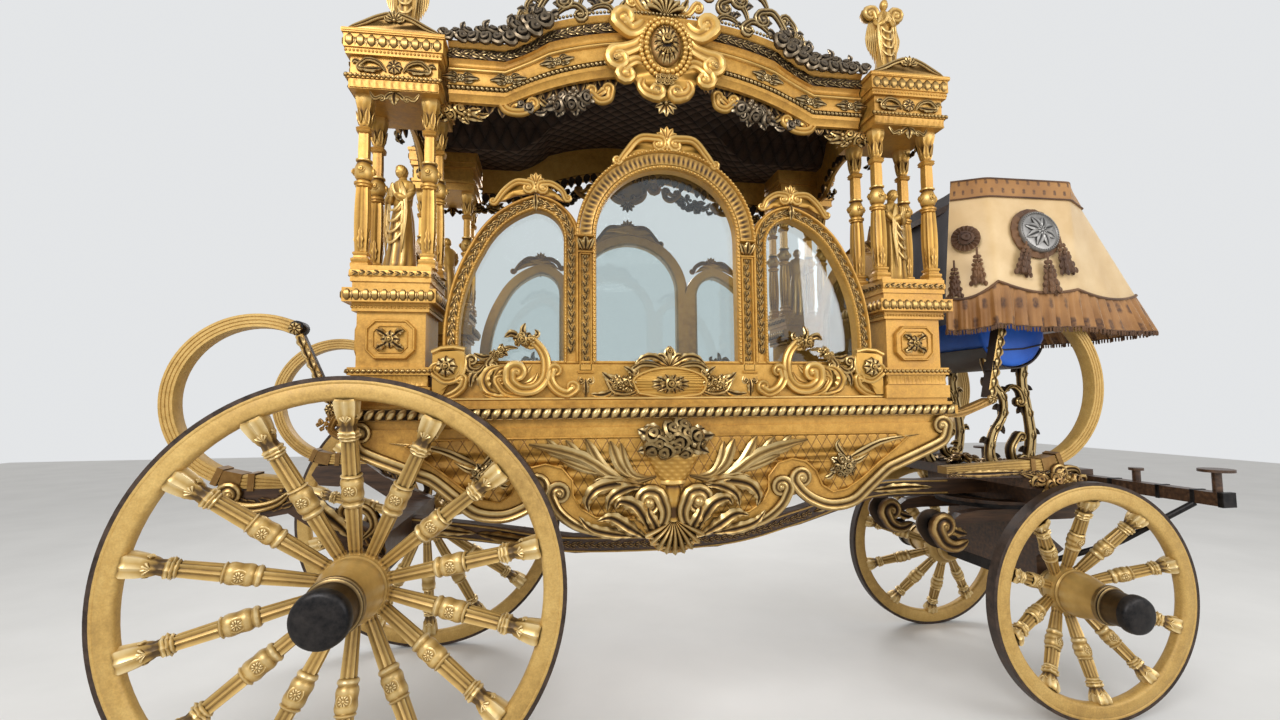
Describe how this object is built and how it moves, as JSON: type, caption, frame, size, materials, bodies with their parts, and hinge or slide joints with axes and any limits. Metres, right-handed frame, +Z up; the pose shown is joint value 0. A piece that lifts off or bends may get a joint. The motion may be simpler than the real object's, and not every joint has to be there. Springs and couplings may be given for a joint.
{
  "type": "horse-drawn funeral carriage",
  "caption": "Gilded four-wheeled funeral carriage: glazed arched body on a scrolled hull, corner towers, arched canopy, C springs, draped box seat.",
  "frame": {"origin": "on the ground, half way along the carriage and midway between its wheels", "axes": "+X is the way it is drawn, +Y its left side, +Z up"},
  "size_m": [4.3699, 1.886, 3.48],
  "materials": {
    "gilt_carving": "carved wood under burnished gold leaf",
    "dark_wood": "dark painted wood",
    "glass": "clear plate glass",
    "brown_velvet": "buttoned dark velvet lining",
    "black_iron": "black painted wrought iron",
    "gilded_iron": "gold leaf over iron leaves",
    "iron_tyre": "worn dark iron hoop",
    "leather": "black harness leather",
    "satin": "cream satin damask"
  },
  "bodies": {
    "carriage": {"base_plate": "gilt_carving", "hull_side_right": "gilt_carving", "hull_side_left": "gilt_carving", "hull_tub": "dark_wood", "cabin_sill": "gilt_carving", "coffin_deck": "dark_wood", "window_screen_right": "gilt_carving", "window_screen_left": "gilt_carving", "window_glass_right": "glass", "window_glass_left": "glass", "front_screen": "gilt_carving", "front_glass": "glass", "rear_door_frame": "gilt_carving", "tower_pedestals": "gilt_carving", "tower_columns": "gilt_carving", "tower_statues": "gilt_carving", "tower_entablatures": "gilt_carving", "finial_figures": "gilt_carving", "canopy_side_fascias": "gilt_carving", "canopy_end_fascias": "gilt_carving", "canopy_roof": "dark_wood", "canopy_ceiling": "brown_velvet", "canopy_crown": "gilt_carving", "perch": "dark_wood", "rear_axle": "black_iron", "rear_bed": "gilt_carving", "rear_springs": "gilded_iron", "front_springs": "gilded_iron", "leather_braces": "leather", "body_loops": "black_iron", "front_bed": "dark_wood", "king_pin": "black_iron", "hammercloth": "satin", "seat_box": "dark_wood", "seat_cushion": "satin", "seat_boot": "dark_wood", "footboard": "dark_wood", "seat_stays": "gilt_carving"},
    "fore_carriage": {"front_axle": "black_iron", "front_axle_bed": "dark_wood", "lower_wheel_plate": "black_iron", "futchells": "dark_wood", "splinter_bar": "dark_wood", "splinter_stays": "black_iron"},
    "rear_wheel_r": {"rear_wheel_right": "gilt_carving", "rear_wheel_right_tyre": "iron_tyre"},
    "rear_wheel_l": {"rear_wheel_left": "gilt_carving", "rear_wheel_left_tyre": "iron_tyre"},
    "front_wheel_r": {"front_wheel_right": "gilt_carving", "front_wheel_right_tyre": "iron_tyre"},
    "front_wheel_l": {"front_wheel_left": "gilt_carving", "front_wheel_left_tyre": "iron_tyre"},
    "rear_door_leaf_r": {"rear_door_right": "gilt_carving", "rear_door_glass_right": "glass"},
    "rear_door_leaf_l": {"rear_door_left": "gilt_carving", "rear_door_glass_left": "glass"}
  },
  "joints": [
    {"name": "steering", "type": "hinge", "parent": "carriage", "child": "fore_carriage", "pos_m": [1.51, 0, 0.84], "axis": [0, 0, 1], "range_deg": [-35, 35]},
    {"name": "rear_wheel_right_spin", "type": "hinge", "parent": "carriage", "child": "rear_wheel_r", "pos_m": [-1.455, -0.74, 0.725], "axis": [0, 1, 0], "continuous": true},
    {"name": "rear_wheel_left_spin", "type": "hinge", "parent": "carriage", "child": "rear_wheel_l", "pos_m": [-1.455, 0.74, 0.725], "axis": [0, 1, 0], "continuous": true},
    {"name": "front_wheel_right_spin", "type": "hinge", "parent": "fore_carriage", "child": "front_wheel_r", "pos_m": [1.51, -0.566, 0.498], "axis": [0, 1, 0], "continuous": true},
    {"name": "front_wheel_left_spin", "type": "hinge", "parent": "fore_carriage", "child": "front_wheel_l", "pos_m": [1.51, 0.566, 0.498], "axis": [0, 1, 0], "continuous": true},
    {"name": "rear_door_right_swing", "type": "hinge", "parent": "carriage", "child": "rear_door_leaf_r", "pos_m": [-1.465, -0.327, 1.615], "axis": [0, 0, 1], "range_deg": [0, 90]},
    {"name": "rear_door_left_swing", "type": "hinge", "parent": "carriage", "child": "rear_door_leaf_l", "pos_m": [-1.465, 0.327, 1.615], "axis": [0, 0, -1], "range_deg": [0, 90]}
  ]
}
